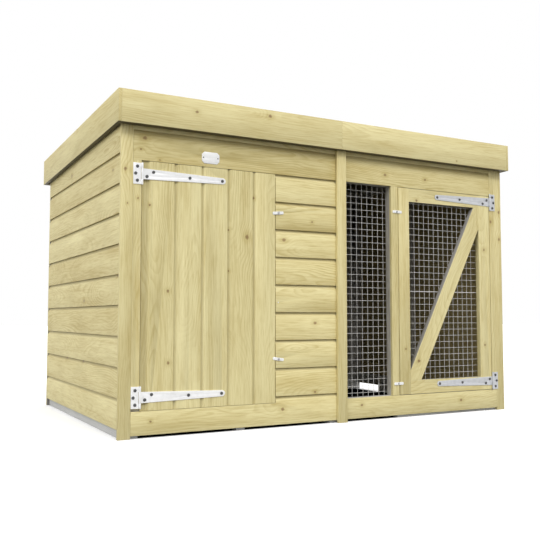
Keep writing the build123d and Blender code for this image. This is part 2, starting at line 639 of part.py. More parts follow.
def make_kennel_door():
    """The boarded door, its ledges and its two hinges."""
    limit = block(KENNEL_DOOR_X, KENNEL_DOOR_END, 0, BOARD_T, DOOR_FOOT_Z, DOOR_HEAD_Z)
    board = shiplap(DOOR_H, DOOR_BOARD_COVER)
    tongue = BOARD_LAP - LAP_GAP
    spots = [spot for z in KENNEL_HINGE_ZS for spot in hinge_spots(KENNEL_AXIS_X, 1, z, STRAP_SCREWS)]
    boards = []
    for k in range(math.ceil((KENNEL_DOOR_W - tongue) / DOOR_BOARD_COVER)):
        lip_x = KENNEL_DOOR_X + tongue + (k + 1) * DOOR_BOARD_COVER
        upright = (Pos(lip_x, 0, DOOR_FOOT_Z) * Rot(0, -90, 0) * board) & limit
        boards.append(drilled(upright, spots))
    save("kennel_door_boards", boards)
    x0 = FRAME_BACK + FRAME_W + LEDGE_INSET
    x1 = KENNEL_DOOR_END - DOOR_STOP_LAP - LEDGE_INSET
    centres = [KENNEL_HINGE_ZS[0], sum(KENNEL_HINGE_ZS) / 2, KENNEL_HINGE_ZS[1]]
    save("kennel_door_ledges", [
        block(x0, x1, BOARD_T, BOARD_T + LEDGE_T, z - LEDGE_W / 2, z + LEDGE_W / 2) for z in centres])


def make_run_door():
    """The framed door, its brace and the mesh behind it."""
    left = RUN_DOOR_X + RUN_LATCH_STILE_W
    right = RUN_DOOR_END - RUN_HINGE_STILE_W
    low = DOOR_FOOT_Z + RUN_LOW_RAIL_W
    high = DOOR_HEAD_Z - RUN_TOP_RAIL_W
    spots = [spot for z in RUN_HINGE_ZS for spot in hinge_spots(RUN_AXIS_X, -1, z, STRAP_SCREWS)]
    stiles = [
        block(RUN_DOOR_X, left, 0, RUN_DOOR_T, DOOR_FOOT_Z, DOOR_HEAD_Z),
        block(right, RUN_DOOR_END, 0, RUN_DOOR_T, DOOR_FOOT_Z, DOOR_HEAD_Z),
    ]
    rails = [
        block(left, right, 0, RUN_DOOR_T, high, DOOR_HEAD_Z),
        block(left, right, 0, RUN_DOOR_T, DOOR_FOOT_Z, low),
    ]
    save("run_door_stiles", [drilled(stile, spots) for stile in stiles])
    save("run_door_rails", [drilled(rail, spots) for rail in rails])
    across = BRACE_W * math.sqrt(1 + BRACE_LEAN ** 2)
    foot_x = left + BRACE_FOOT_X
    reach = high - low
    lean = BRACE_LEAN * reach
    band = [
        (foot_x - lean, low - reach), (foot_x + 2 * lean, high + reach),
        (foot_x + 2 * lean - across, high + reach), (foot_x - lean - across, low - reach),
    ]
    brace = prism(Plane.XZ, band, -RUN_DOOR_T) & block(left, right, 0, RUN_DOOR_T, low, high)
    save("run_door_brace", [drilled(brace, spots)])

    x0 = left - DOOR_MESH_LAP
    z0 = low - DOOR_MESH_FOOT_LAP
    columns = math.floor((right - x0) / MESH_PITCH)
    rows = math.ceil((high - z0) / MESH_PITCH)
    lower_rows = rows // 2
    seam_z = z0 + lower_rows * MESH_PITCH
    margin = MESH_MARGIN + right - x0 - columns * MESH_PITCH
    save("run_door_mesh_lower", [wire_mesh(x0, z0, columns, lower_rows, RUN_DOOR_T, 0, margin)])
    save("run_door_mesh_upper", [
        wire_mesh(x0, seam_z + MESH_WIRE, columns, rows - lower_rows, RUN_DOOR_T, 0, margin)])


def make_fixed_mesh():
    """The mesh panel between the cover strip and the latch stud."""
    x1 = LATCH_STUD_X + FIXED_MESH_LAP
    z0 = RAIL_TOP - FIXED_MESH_LAP
    columns = math.floor((x1 - MESH_OPENING_X) / MESH_PITCH)
    rows = math.ceil((HEADER_Z - z0) / MESH_PITCH)
    x0 = x1 - columns * MESH_PITCH
    margin = x0 - MESH_OPENING_X + FIXED_MESH_LAP
    save("run_fixed_mesh", [wire_mesh(x0, z0, columns, rows, FRAME_BACK, margin)])


def make_hinges():
    """Plates, straps, pins and screws of the four hinges."""
    sides = [("kennel", KENNEL_AXIS_X, 1, KENNEL_HINGE_ZS), ("run", RUN_AXIS_X, -1, RUN_HINGE_ZS)]
    plate_screws = []
    for name, axis_x, side, heights in sides:
        save(f"{name}_hinge_plates", [hinge_at(hinge_plate(), axis_x, side, z) for z in heights])
        save(f"{name}_hinge_straps", [hinge_at(hinge_strap(), axis_x, side, z) for z in heights])
        save(f"{name}_hinge_pins", [hinge_at(hinge_pin(), axis_x, side, z) for z in heights])
        strap_screws = []
        for z in heights:
            on_strap = hinge_spots(axis_x, side, z, STRAP_SCREWS)
            on_plate = hinge_spots(axis_x, side, z, PLATE_SCREWS)
            strap_screws += [screw(*spot, HINGE_METAL_T) for spot in on_strap]
            plate_screws += [screw(*spot, HINGE_METAL_T) for spot in on_plate]
        save(f"{name}_hinge_strap_screws", strap_screws)
    save("hinge_plate_screws", plate_screws)


def make_front_fittings():
    """Turn buttons, the blank name plate and the small fasteners."""
    for name, z, tilt in zip(("upper", "lower"), KENNEL_BUTTON_ZS, KENNEL_BUTTON_TILTS):
        save(f"kennel_{name}_turn_button", [turn_button(KENNEL_BUTTON_X, z, KENNEL_BUTTON_PIVOT, tilt)])
    for name, z in zip(("upper", "lower"), RUN_BUTTON_ZS):
        save(f"run_{name}_turn_button", [turn_button(RUN_BUTTON_X, z, RUN_BUTTON_PIVOT, 0)])
    spots = [(KENNEL_BUTTON_X, z) for z in KENNEL_BUTTON_ZS] + [(RUN_BUTTON_X, z) for z in RUN_BUTTON_ZS]
    seat = BUTTON_FACE + BUTTON_SEAT_GAP
    save("turn_button_screws", [screw(x, z, seat, head_r=BUTTON_HEAD_R) for x, z in spots])
    save("cladding_nail", [
        screw(KENNEL_BUTTON_X, NAIL_Z, 0, radius=NAIL_R, head_r=NAIL_HEAD_R, head_t=NAIL_HEAD_T)])

    x0, x1 = NAME_PLATE_LEFT, NAME_PLATE_LEFT + NAME_PLATE_W
    z0, z1 = NAME_PLATE_Z - NAME_PLATE_H / 2, NAME_PLATE_Z + NAME_PLATE_H / 2
    cut = NAME_PLATE_CUT
    outline = [
        (x0 + cut, z0), (x1 - cut, z0), (x1, z0 + cut), (x1, z1 - cut),
        (x1 - cut, z1), (x0 + cut, z1), (x0, z1 - cut), (x0, z0 + cut),
    ]
    plate = prism(Plane.XZ, outline, NAME_PLATE_T)
    save("name_plate", [drilled(plate, NAME_SCREW_SPOTS, NAME_SCREW_R)])
    save("name_plate_screws", [
        screw(*spot, NAME_PLATE_T, radius=NAME_SCREW_R, head_r=NAME_SCREW_HEAD_R, head_t=NAME_SCREW_HEAD_T)
        for spot in NAME_SCREW_SPOTS])


os.makedirs("parts", exist_ok=True)
make_base()
make_front_frame()
make_wall_frames()
make_wall_boards()
make_front_boards()
make_roof()
make_kennel_door()
make_run_door()
make_fixed_mesh()
make_hinges()
make_front_fittings()
print(len(saved_nodes), "nodes:", " ".join(saved_nodes))
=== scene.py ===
"""A timber dog kennel and run: finished boards, framing, wire mesh, strap hinges and catches on the CAD frame."""

import json
import math
import random

import bmesh
import bpy
import numpy as np
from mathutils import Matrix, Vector


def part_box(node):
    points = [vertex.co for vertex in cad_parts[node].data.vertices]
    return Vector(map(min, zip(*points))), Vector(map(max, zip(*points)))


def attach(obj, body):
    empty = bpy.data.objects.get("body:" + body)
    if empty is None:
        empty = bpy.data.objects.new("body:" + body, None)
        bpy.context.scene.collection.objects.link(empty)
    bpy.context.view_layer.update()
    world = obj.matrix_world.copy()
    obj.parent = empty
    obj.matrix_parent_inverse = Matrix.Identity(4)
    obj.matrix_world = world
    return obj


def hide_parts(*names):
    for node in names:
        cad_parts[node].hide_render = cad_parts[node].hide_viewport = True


bl_info = {
    "name": "Dog kennel and run",
    "version": (1, 0, 0),
    "blender": (4, 5, 0),
    "location": "View3D > Sidebar > Kennel",
    "description": "Dresses a timber dog kennel and wire run, piece by piece",
    "category": "Object",
}

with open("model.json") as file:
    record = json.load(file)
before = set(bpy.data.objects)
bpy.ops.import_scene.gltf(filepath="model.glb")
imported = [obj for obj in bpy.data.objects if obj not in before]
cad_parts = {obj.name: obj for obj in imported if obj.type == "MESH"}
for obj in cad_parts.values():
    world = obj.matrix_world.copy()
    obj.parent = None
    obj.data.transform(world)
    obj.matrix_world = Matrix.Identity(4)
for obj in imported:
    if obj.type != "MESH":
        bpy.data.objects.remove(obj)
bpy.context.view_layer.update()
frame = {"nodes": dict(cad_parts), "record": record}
NODES = frame["nodes"]
NODE_BODY = {node: body for body, nodes in frame["record"]["behaviour"]["bodies"].items() for node in nodes}
MM = 0.001


# Small helpers for objects

def only(obj):
    """Select one object alone and make it active."""
    bpy.ops.object.select_all(action="DESELECT")
    obj.hide_set(False)
    obj.select_set(True)
    bpy.context.view_layer.objects.active = obj


def settle(obj):
    """Put an object's place and size into its mesh."""
    only(obj)
    bpy.ops.object.transform_apply(location=True, rotation=True, scale=True)


def modify(obj, kind, **values):
    """Add one modifier, set it and apply it."""
    only(obj)
    modifier = obj.modifiers.new(kind.title(), kind)
    for name, value in values.items():
        setattr(modifier, name, value)
    bpy.ops.object.modifier_apply(modifier=modifier.name)


def joined(objects, name):
    """Join several objects into one mesh under one name."""
    bpy.ops.object.select_all(action="DESELECT")
    for obj in objects:
        obj.select_set(True)
    bpy.context.view_layer.objects.active = objects[0]
    if len(objects) > 1:
        bpy.ops.object.join()
    objects[0].name = name
    return objects[0]


def copy_node(node, suffix):
    """A clean copy of a CAD node: corners merged and flat faces made whole."""
    only(NODES[node])
    bpy.ops.object.duplicate()
    obj = bpy.context.object
    obj.name = f"{node}_{suffix}"
    obj.data.materials.clear()
    bpy.ops.object.mode_set(mode="EDIT")
    bpy.ops.mesh.select_all(action="SELECT")
    bpy.ops.mesh.remove_doubles(threshold=0.00001)
    bpy.ops.mesh.dissolve_limited(angle_limit=math.radians(0.6))
    bpy.ops.object.mode_set(mode="OBJECT")
    return obj


def stands_for(obj, node, material):
    """Give a piece its material, and let it ride and stand for its CAD node."""
    obj.data.materials.clear()
    obj.data.materials.append(material)
    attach(obj, NODE_BODY[node])
    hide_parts(node)
    return obj


def islands(mesh):
    """Vertex indices of each separate solid in a mesh."""
    work = bmesh.new()
    work.from_mesh(mesh)
    seen = set()
    found = []
    for start in work.verts:
        if start.index in seen:
            continue
        seen.add(start.index)
        stack, group = [start], []
        while stack:
            vert = stack.pop()
            group.append(vert.index)
            for edge in vert.link_edges:
                other = edge.other_vert(vert)
                if other.index not in seen:
                    seen.add(other.index)
                    stack.append(other)
        found.append(sorted(group))
    work.free()
    return found


# Shader helpers

class Graph:
    """Short ways to add and join nodes in one node tree."""

    def __init__(self, tree):
        self.tree = tree

    def feed(self, socket, value):
        """Link a socket to another one, or give it a plain value."""
        if isinstance(value, bpy.types.NodeSocket):
            self.tree.links.new(value, socket)
        else:
            socket.default_value = value

    def add(self, kind, inputs=None, **settings):
        node = self.tree.nodes.new(kind)
        for name, value in settings.items():
            setattr(node, name, value)
        for key, value in (inputs or {}).items():
            self.feed(node.inputs[key], value)
        return node

    def math(self, operation, a, b=0.0, clamp=False):
        return self.add("ShaderNodeMath", {0: a, 1: b}, operation=operation, use_clamp=clamp).outputs[0]

    def blend(self, amount, a, b):
        plain = [part if isinstance(part, bpy.types.NodeSocket) else (*part[:3], 1) for part in (a, b)]
        return self.add("ShaderNodeMix", {"Factor": amount, 6: plain[0], 7: plain[1]}, data_type="RGBA").outputs[2]

    def span(self, value, low, high, to_low=0.0, to_high=1.0):
        return self.add("ShaderNodeMapRange", {
            "Value": value, "From Min": low, "From Max": high, "To Min": to_low, "To Max": to_high},
            interpolation_type="SMOOTHSTEP").outputs["Result"]

    def noise(self, vector, scale, detail=3.0, roughness=0.5):
        return self.add("ShaderNodeTexNoise", {
            "Vector": vector, "Scale": scale, "Detail": detail, "Roughness": roughness}).outputs["Fac"]

    def stretch(self, vector, factors):
        return self.add("ShaderNodeVectorMath", {0: vector, 1: factors}, operation="MULTIPLY").outputs[0]

    def parts(self, vector):
        """The three numbers of a vector."""
        return self.add("ShaderNodeSeparateXYZ", {0: vector}).outputs

    def length(self, a, b):
        """The length of two sides at a right angle."""
        return self.math("SQRT", self.math("ADD", self.math("MULTIPLY", a, a), self.math("MULTIPLY", b, b)))

    def finish(self, shader, color, roughness, height, strength, distance, invert=False):
        """Feed a shader its colour, its roughness and a relief made from a height."""
        relief = self.add("ShaderNodeBump", {"Height": height, "Strength": strength, "Distance": distance},
                          invert=invert)
        self.feed(shader["Base Color"], color)
        self.feed(shader["Roughness"], roughness)
        self.feed(shader["Normal"], relief.outputs["Normal"])


def new_material(name):
    """A node material with its graph and the inputs of its shader."""
    material = bpy.data.materials.new(name)
    material.use_nodes = True
    return material, Graph(material.node_tree), material.node_tree.nodes["Principled BSDF"].inputs


def new_group(name, inputs, outputs):
    """A shader group with its sockets: each is a name and a kind, inputs with a default."""
    tree = bpy.data.node_groups.new(name, "ShaderNodeTree")
    for label, kind, value in inputs:
        item = tree.interface.new_socket(name=label, in_out="INPUT", socket_type=f"NodeSocket{kind}")
        if value is not None:
            item.default_value = value
    for label, kind in outputs:
        tree.interface.new_socket(name=label, in_out="OUTPUT", socket_type=f"NodeSocket{kind}")
    graph = Graph(tree)
    return graph, graph.add("NodeGroupInput").outputs, graph.add("NodeGroupOutput").inputs


def pine_group():
    """Softwood cut lengthwise: growth rings, fibres, knots with bent grain, end grain and rubbed edges, with painted
    shade in the hollows of the board profiles and on the faces marked for it.
    """
    name = "Pine timber"
    if name in bpy.data.node_groups:
        return bpy.data.node_groups[name]
    graph, given, out = new_group(name, [
        ("Grain", "Vector", None), ("Board", "Vector", None), ("Wear", "Vector", None),
        ("Knot 1", "Vector", None), ("Knot 2", "Vector", None), ("Knot 3", "Vector", None),
        ("Pale", "Color", (0.75, 0.66, 0.38, 1)), ("Deep", "Color", (0.55, 0.42, 0.19, 1)),
        ("Knot", "Color", (0.27, 0.15, 0.055, 1)), ("Stain", "Color", (0.5, 0.4, 0.2, 1)),
        ("Dull", "Color", (0.3, 0.25, 0.15, 1)), ("Figure", "Float", 0.5), ("Hollow", "Float", 0.0),
        ("Groove", "Float", 0.7),
    ], [("Color", "Color"), ("Roughness", "Float"), ("Height", "Float")])
    grain = given["Grain"]
    place = graph.parts(grain)
    board = graph.parts(given["Board"])
    wear = graph.parts(given["Wear"])
    ragged = graph.math("SUBTRACT", graph.noise(grain, 210.0, 2.0), 0.5)

    knot, core, halo, push = 0.0, 0.0, 0.0, 0.0
    for index in (1, 2, 3):
        spot = graph.parts(given[f"Knot {index}"])
        along = graph.math("MULTIPLY", graph.math("SUBTRACT", place[0], spot[0]), 0.8)
        aside = graph.math("SUBTRACT", place[1], spot[1])
        distance = graph.length(along, aside)
        size = graph.math("MAXIMUM", spot[2], 0.0001)
        edge = graph.math("ADD", graph.math("DIVIDE", distance, size), graph.math("MULTIPLY", ragged, 0.9))
        knot = graph.math("MAXIMUM", knot, graph.span(edge, 1.15, 0.8))
        core = graph.math("MAXIMUM", core, graph.span(edge, 0.8, 0.25))
        halo = graph.math("MAXIMUM", halo, graph.span(edge, 4.0, 0.9))
        reach = graph.span(graph.math("DIVIDE", distance, size), 7.0, 1.0)
        push = graph.math("MAXIMUM", push, graph.math("MULTIPLY", reach, size))

    drift = graph.add("ShaderNodeTexNoise", {
        "Vector": graph.stretch(grain, (1.7, 4.0, 4.0)), "Scale": 1.0, "Detail": 1.5, "Distortion": 0.3})
    bend = graph.add("ShaderNodeSeparateColor", {0: drift.outputs["Color"]}).outputs
    across = graph.math("ADD", graph.math("SUBTRACT", place[1], board[1]), graph.math("MULTIPLY", bend[0], 0.09))
    deep = graph.math("ADD", graph.math("SUBTRACT", place[2], board[2]), graph.math("MULTIPLY", bend[1], 0.22))
    ring = graph.length(across, deep)
    ring = graph.math("ADD", ring, graph.math("MULTIPLY", push, 1.4))
    wobble = graph.noise(graph.stretch(grain, (7.0, 60.0, 60.0)), 1.0, 3.0)
    ring = graph.math("ADD", ring, graph.math("MULTIPLY", wobble, 0.004))
    phase = graph.math("FRACT", graph.math("DIVIDE", ring, 0.0074))
    rise = graph.span(phase, 0.1, 0.86)
    fall = graph.span(phase, 0.99, 0.86)
    ring_tone = graph.math("MULTIPLY", graph.math("MULTIPLY", rise, rise), fall)
    faint = graph.noise(graph.stretch(grain, (2.3, 14.0, 14.0)), 1.0, 2.0)
    ring_tone = graph.math("MULTIPLY", ring_tone, graph.span(faint, 0.35, 0.7, 0.12, 1.0))

    fibre = graph.noise(graph.stretch(grain, (26.0, 640.0, 640.0)), 1.0, 3.0, 0.6)
    flame = graph.noise(graph.stretch(grain, (11.0, 170.0, 170.0)), 1.0, 3.0, 0.65)
    streak = graph.noise(graph.stretch(grain, (1.6, 34.0, 34.0)), 1.0, 3.0, 0.6)
    patch = graph.noise(graph.stretch(grain, (4.0, 11.0, 11.0)), 1.0, 3.0)

    figure = graph.math("MULTIPLY", given["Figure"], graph.math("ADD", graph.math("MULTIPLY", board[0], 0.9), 0.55))
    shade = graph.math("MULTIPLY", ring_tone, figure)
    shade = graph.math("ADD", shade, graph.span(streak, 0.35, 0.75, 0.0, 0.30))
    shade = graph.math("ADD", shade, graph.span(flame, 0.42, 0.72, 0.0, 0.30))
    shade = graph.math("ADD", shade, graph.span(fibre, 0.45, 0.8, 0.0, 0.22))
    shade = graph.math("ADD", shade, graph.span(patch, 0.4, 0.75, 0.0, 0.22))
    shade = graph.math("ADD", shade, graph.math("MULTIPLY", board[0], 0.5))
    shade = graph.math("ADD", shade, graph.math("MULTIPLY", halo, 0.25), clamp=True)
    color = graph.blend(shade, given["Pale"], given["Deep"])
    green = graph.span(graph.noise(graph.stretch(grain, (2.0, 6.0, 6.0)), 1.7, 2.0), 0.5, 0.8, 0.0, 0.25)
    color = graph.blend(green, color, given["Stain"])
    # Painted shade: faces marked in the third wear number are blended toward the Dull colour. These faces look into
    # the dark inside, down under the roof or against other parts.
    color = graph.blend(graph.math("MULTIPLY", wear[2], 0.85), color, given["Dull"])
    end_rings = graph.math("ADD", graph.math("MULTIPLY", phase, 0.35), 0.3)
    color = graph.blend(graph.math("MULTIPLY", wear[1], end_rings), color, given["Deep"])
    color = graph.blend(graph.math("MULTIPLY", wear[0], 0.30), color, given["Pale"])
    color = graph.blend(graph.math("MULTIPLY", knot, 0.62), color, given["Knot"])
    color = graph.blend(graph.math("MULTIPLY", core, 0.4), color, (0.09, 0.045, 0.02))
    # Painted shade: the deepest parts of each board's profile, the cove under the next board's lip, are blended
    # toward a dark brown.
    hollow_shade_amount = graph.math("MULTIPLY", graph.span(given["Hollow"], 0.3, 1.0), given["Groove"])
    color = graph.blend(hollow_shade_amount, color, (0.13, 0.095, 0.04))
    graph.feed(out["Color"], color)
    rough = graph.math("ADD", graph.math("MULTIPLY", shade, -0.08), 0.64)
    graph.feed(out["Roughness"], graph.math("SUBTRACT", rough, graph.math("MULTIPLY", knot, 0.15)))
    height = graph.math("ADD", graph.math("MULTIPLY", fibre, 0.6), graph.math("MULTIPLY", ring_tone, -0.5))
    graph.feed(out["Height"], graph.math("SUBTRACT", height, graph.math("MULTIPLY", knot, 0.6)))
    return graph.tree


# Sorts of timber: material, settings for its pale, deep and stained tones and its painted shade tone (dull), figure,
# relief, and strength of the painted shade in the hollows
TIMBERS = {
    "boards": ("Planed pine boards", "pale", "deep", "stain", "inner", 1.0, 1.0, 0.4),
    "rear": ("Planed rear boards", "pale", "deep", "stain", "rear_inner_shade", 1.0, 1.0, 0.4),
    "door": ("Planed door boards", "pale", "deep", "stain", "inner", 1.0, 1.0, 0.22),
    "strips": ("Planed pine strips", "strip_pale", "strip_deep", "stain", "cut", 1.0, 1.0, 0.4),
    "fascia": ("Planed fascia", "strip_pale", "strip_deep", "stain", "soffit_shade", 1.2, 1.0, 0.4),
    "sawn": ("Sawn framing", "sawn_pale", "sawn_deep", "sawn_stain", "sawn_deep", 1.0, 1.8, 0.4),
    "sill": ("Bleached sill", "sill", "sill_deep", "sawn_stain", "sawn_deep", 1.0, 1.8, 0.4),
}


def timber_material(sort):
    """One sort of timber from the shared pine group."""
    name, pale, deep, stain, dull, figure, relief, groove_shade = TIMBERS[sort]
    material = bpy.data.materials.get(name)
    if material:
        return material
    material, graph, shader = new_material(name)
    timber = bpy.context.scene.kennel_timber
    values = {"Figure": timber.figure * figure, "Groove": groove_shade}
    for label, tone in (("Pale", pale), ("Deep", deep), ("Stain", stain), ("Dull", dull)):
        values[label] = (*getattr(timber, tone), 1)
    for label in ("Hollow", "Grain", "Board", "Wear", "Knot 1", "Knot 2", "Knot 3"):
        layer = graph.add("ShaderNodeAttribute", attribute_name=label.lower().replace(" ", "_"))
        values[label] = layer.outputs["Fac" if label == "Hollow" else "Vector"]
    pine = graph.add("ShaderNodeGroup", values, node_tree=pine_group()).outputs
    graph.finish(shader, pine["Color"], pine["Roughness"], pine["Height"], timber.relief * relief, 0.0006)
    shader["Specular IOR Level"].default_value = 0.3
    return material


def surface_wear_group():
    """Fine dull patches, scratches and specks for metal, in Object coordinates."""
    name = "Metal wear"
    if name in bpy.data.node_groups:
        return bpy.data.node_groups[name]
    graph, given, out = new_group(name, [
        ("Vector", "Vector", None), ("Base", "Color", (0.8, 0.8, 0.8, 1)), ("Dull", "Color", (0.6, 0.6, 0.6, 1)),
        ("Roughness", "Float", 0.4), ("Spangle", "Float", 0.0),
    ], [("Color", "Color"), ("Roughness", "Float"), ("Height", "Float")])
    cloud = graph.noise(given["Vector"], 60.0, 4.0, 0.6)
    fine = graph.noise(given["Vector"], 900.0, 2.0)
    scratch = graph.noise(graph.stretch(given["Vector"], (60.0, 60.0, 1500.0)), 1.0, 2.0)
    crystal = graph.add("ShaderNodeTexVoronoi", {"Vector": given["Vector"], "Scale": 240.0})
    facet = graph.add("ShaderNodeSeparateColor", {0: crystal.outputs["Color"]}).outputs[0]
    amount = graph.span(cloud, 0.4, 0.75, 0.0, 0.5)
    amount = graph.math("ADD", amount, graph.span(scratch, 0.66, 0.85, 0.0, 0.1))
    amount = graph.math("ADD", amount, graph.math("MULTIPLY", facet, given["Spangle"]), clamp=True)
    graph.feed(out["Color"], graph.blend(amount, given["Base"], given["Dull"]))
    rough = graph.math("ADD", given["Roughness"], graph.math("MULTIPLY", amount, 0.18))
    graph.feed(out["Roughness"], rough)
    graph.feed(out["Height"], graph.math("ADD", fine, scratch))
    return graph.tree


def metal_material(name, base, dull, roughness, metallic, spangle=0.0):
    """One sort of plated steel from the shared wear group."""
    material = bpy.data.materials.get(name)
    if material:
        return material
    material, graph, shader = new_material(name)
    wear = graph.add("ShaderNodeGroup", {
        "Vector": graph.add("ShaderNodeTexCoord").outputs["Object"], "Base": (*base, 1), "Dull": (*dull, 1),
        "Roughness": roughness, "Spangle": spangle}, node_tree=surface_wear_group()).outputs
    graph.finish(shader, wear["Color"], wear["Roughness"], wear["Height"], 0.15, 0.0002)
    shader["Metallic"].default_value = metallic
    return material


def felt_material(settings):
    """Mineral roofing felt: coarse grit in two tones with darker patches."""
    material, graph, shader = new_material("Mineral felt")
    place = graph.add("ShaderNodeTexCoord").outputs["Object"]
    grit = graph.add("ShaderNodeTexVoronoi", {"Vector": place, "Scale": 520.0})
    tone = graph.add("ShaderNodeSeparateColor", {0: grit.outputs["Color"]}).outputs[0]
    broad = graph.noise(place, 5.0, 5.0, 0.6)
    color = graph.blend(tone, settings.felt_dark, settings.felt_light)
    color = graph.blend(graph.span(broad, 0.4, 0.75, 0.0, 0.45), color, (0.05, 0.06, 0.05))
    rough = graph.span(tone, 0.0, 1.0, 0.82, 0.96)
    graph.finish(shader, color, rough, grit.outputs["Distance"], 0.6, 0.0012, invert=True)
    return material


# Timber pieces

# Knots that show, in metres on the face of their board: x or y along the wall, height, and radius
KNOTS = {
    "kennel_door_boards": [
        (-0.4035, 0.707, 0.0075), (-0.4775, 0.729, 0.003), (-0.4765, 0.579, 0.0028), (-0.7115, 0.502, 0.0048),
        (-0.7085, 0.252, 0.005), (-0.4065, 0.287, 0.0035), (-0.7805, 0.799, 0.0035), (-0.3745, 0.855, 0.0045),
        (-0.7515, 0.117, 0.0035)],
    "kennel_hinge_strip": [(-0.8235, 0.820, 0.0035)],
    "kennel_short_boards": [
        (-0.2465, 0.704, 0.0065), (-0.1085, 0.388, 0.006), (-0.1205, 0.780, 0.0035), (-0.1105, 0.124, 0.0045)],
    "kennel_header_boards": [(-0.8005, 1.032, 0.007), (-0.8145, 0.992, 0.0035), (-0.7455, 0.960, 0.003)],
    "run_header_boards": [(0.2345, 0.998, 0.006), (0.4465, 0.996, 0.005)],
    "run_low_board": [(0.1095, 0.062, 0.005), (0.6305, 0.054, 0.006)],
    "run_door_stiles": [(0.7795, 0.710, 0.005), (0.7755, 0.288, 0.0045), (0.3335, 0.279, 0.004)],
    "left_wall_boards": [
        (0.122, 1.009, 0.008), (-0.485, 0.928, 0.006), (-0.112, 0.474, 0.007), (-0.538, 0.555, 0.006),
        (0.173, 0.242, 0.009), (-0.096, 0.239, 0.007)],
}


def board_axes(points, edges):
    """A solid's own directions: along its longest edge, across it, and through its thickness."""
    runs = points[edges[:, 0]] - points[edges[:, 1]]
    along = runs[np.argmax(np.linalg.norm(runs, axis=1))]
    along = along / np.linalg.norm(along)
    spans = points.max(axis=0) - points.min(axis=0) + 10 * np.abs(along)
    through = np.eye(3)[np.argmin(spans)]
    through = through - along * (through @ along)
    through = through / np.linalg.norm(through)
    return np.array([along, np.cross(through, along), through])


def board_knots(node, low, high, rng, own_axes, centre, shift):
    """Three knots for one board, in its grain directions: those that show first, then chance ones."""
    side = 1 if node == "left_wall_boards" else 0
    shown = [knot for knot in KNOTS.get(node, []) if low[side] < knot[0] < high[side] and low[2] < knot[1] < high[2]]
    spots = []
    for where, height, size in shown[:3]:
        point = np.array(centre)
        point[side], point[2] = where, height
        spots.append((*(own_axes @ (point - centre))[:2], size))
    reach = np.abs((np.array([low, high]) - centre) @ own_axes.T).max(axis=0)
    while len(spots) < 3:
        bare = node in KNOTS or rng.random() > 0.3
        size = 0.0 if bare else rng.uniform(0.0025, 0.007)
        spots.append((rng.uniform(-0.9, 0.9) * reach[0], rng.uniform(-0.8, 0.8) * reach[1], size))
    return [(x + shift[0], y + shift[1], size) for x, y, size in spots]


# The narrow face that an eased edge leaves is less wide than this, in metres
BEVEL_FACE = 0.0016


def mark_grain(obj, node, tones=None, sort_axis=0, dull=()):
    """Write each solid's own grain directions, tone, knots, rubbed edges, end grain and the faces that get painted
    shade into the mesh.
    """
    mesh = obj.data
    points = np.zeros(len(mesh.vertices) * 3)
    mesh.vertices.foreach_get("co", points)
    points = points.reshape(-1, 3)
    edges = np.zeros(len(mesh.edges) * 2, dtype=int)
    mesh.edges.foreach_get("vertices", edges)
    edges = edges.reshape(-1, 2)
    layers = {name: np.zeros_like(points) for name in ("grain", "board", "knot_1", "knot_2", "knot_3")}
    hollow = np.zeros(len(points))
    owner = np.zeros(len(points), dtype=int)
    rng = random.Random(node)
    found = sorted(islands(mesh), key=lambda group: points[group].mean(axis=0)[sort_axis])
    for index, group in enumerate(found):
        owner[group] = index
    axes = []
    for index, group in enumerate(found):
        own = points[group]
        own_axes = board_axes(points, edges[owner[edges[:, 0]] == index])
        low, high = own.min(axis=0), own.max(axis=0)
        centre = (low + high) / 2
        local = (own - centre) @ own_axes.T
        shift = np.array([rng.uniform(0, 40), rng.uniform(0, 4), rng.uniform(0, 4)])
        layers["grain"][group] = local + shift
        tone = tones[index % len(tones)] if tones else rng.random()
        layers["board"][group] = (tone, shift[1] + rng.uniform(-0.05, 0.05), shift[2] + rng.uniform(0.02, 0.10))
        knots = board_knots(node, low, high, rng, own_axes, centre, shift)
        for number, knot in enumerate(knots, 1):
            layers[f"knot_{number}"][group] = knot
        # How deep into its thickness each point lies. The shader paints shade into the deepest parts.
        depth = np.abs(local[:, 2])
        hollow[group] = 1 - depth / depth.max()
        axes.append(own_axes)
    for name, data in layers.items():
        layer = mesh.attributes.new(name, "FLOAT_VECTOR", "POINT")
        layer.data.foreach_set("vector", data.astype(np.float32).ravel())
    layer = mesh.attributes.new("hollow", "FLOAT", "POINT")
    layer.data.foreach_set("value", hollow.astype(np.float32))

    wear = np.zeros((len(mesh.polygons), 3), dtype=np.float32)
    for face in mesh.polygons:
        index = owner[face.vertices[0]]
        local = axes[index] @ np.array(face.normal)
        corners = points[list(face.vertices)]
        lengths = np.linalg.norm(corners - np.roll(corners, 1, axis=0), axis=1)
        narrow = min(lengths) < BEVEL_FACE and max(abs(local)) < 0.985
        wear[face.index, 0] = 1.0 if narrow else 0.0
        wear[face.index, 1] = 1.0 if abs(local[0]) > 0.8 else 0.0
        # Painted shade: a face that looks one of the given dull ways is marked for it.
        wear[face.index, 2] = 1.0 if any(face.normal.dot(Vector(way)) > 0.7 for way in dull) else 0.0
    layer = mesh.attributes.new("wear", "FLOAT_VECTOR", "FACE")
    layer.data.foreach_set("vector", wear.ravel())


def timber_piece(node, sort, tones=None, sort_axis=0, easing=1.0, dull=()):
    """A timber node with its arrises eased and its grain marked; faces that look the dull ways get painted shade."""
    obj = copy_node(node, "timber")
    modify(obj, "BEVEL", width=easing * bpy.context.scene.kennel_timber.arris * MM, segments=2,
           limit_method="ANGLE", angle_limit=math.radians(50), use_clamp_overlap=True)
    only(obj)
    bpy.ops.object.shade_smooth_by_angle(angle=math.radians(28))
    mark_grain(obj, node, tones, sort_axis, dull)
    return stands_for(obj, node, timber_material(sort))


# Settings

def tint(name, description, default):
    """A colour setting."""
    return bpy.props.FloatVectorProperty(
        name=name, description=description, subtype="COLOR", default=default, min=0, max=1)


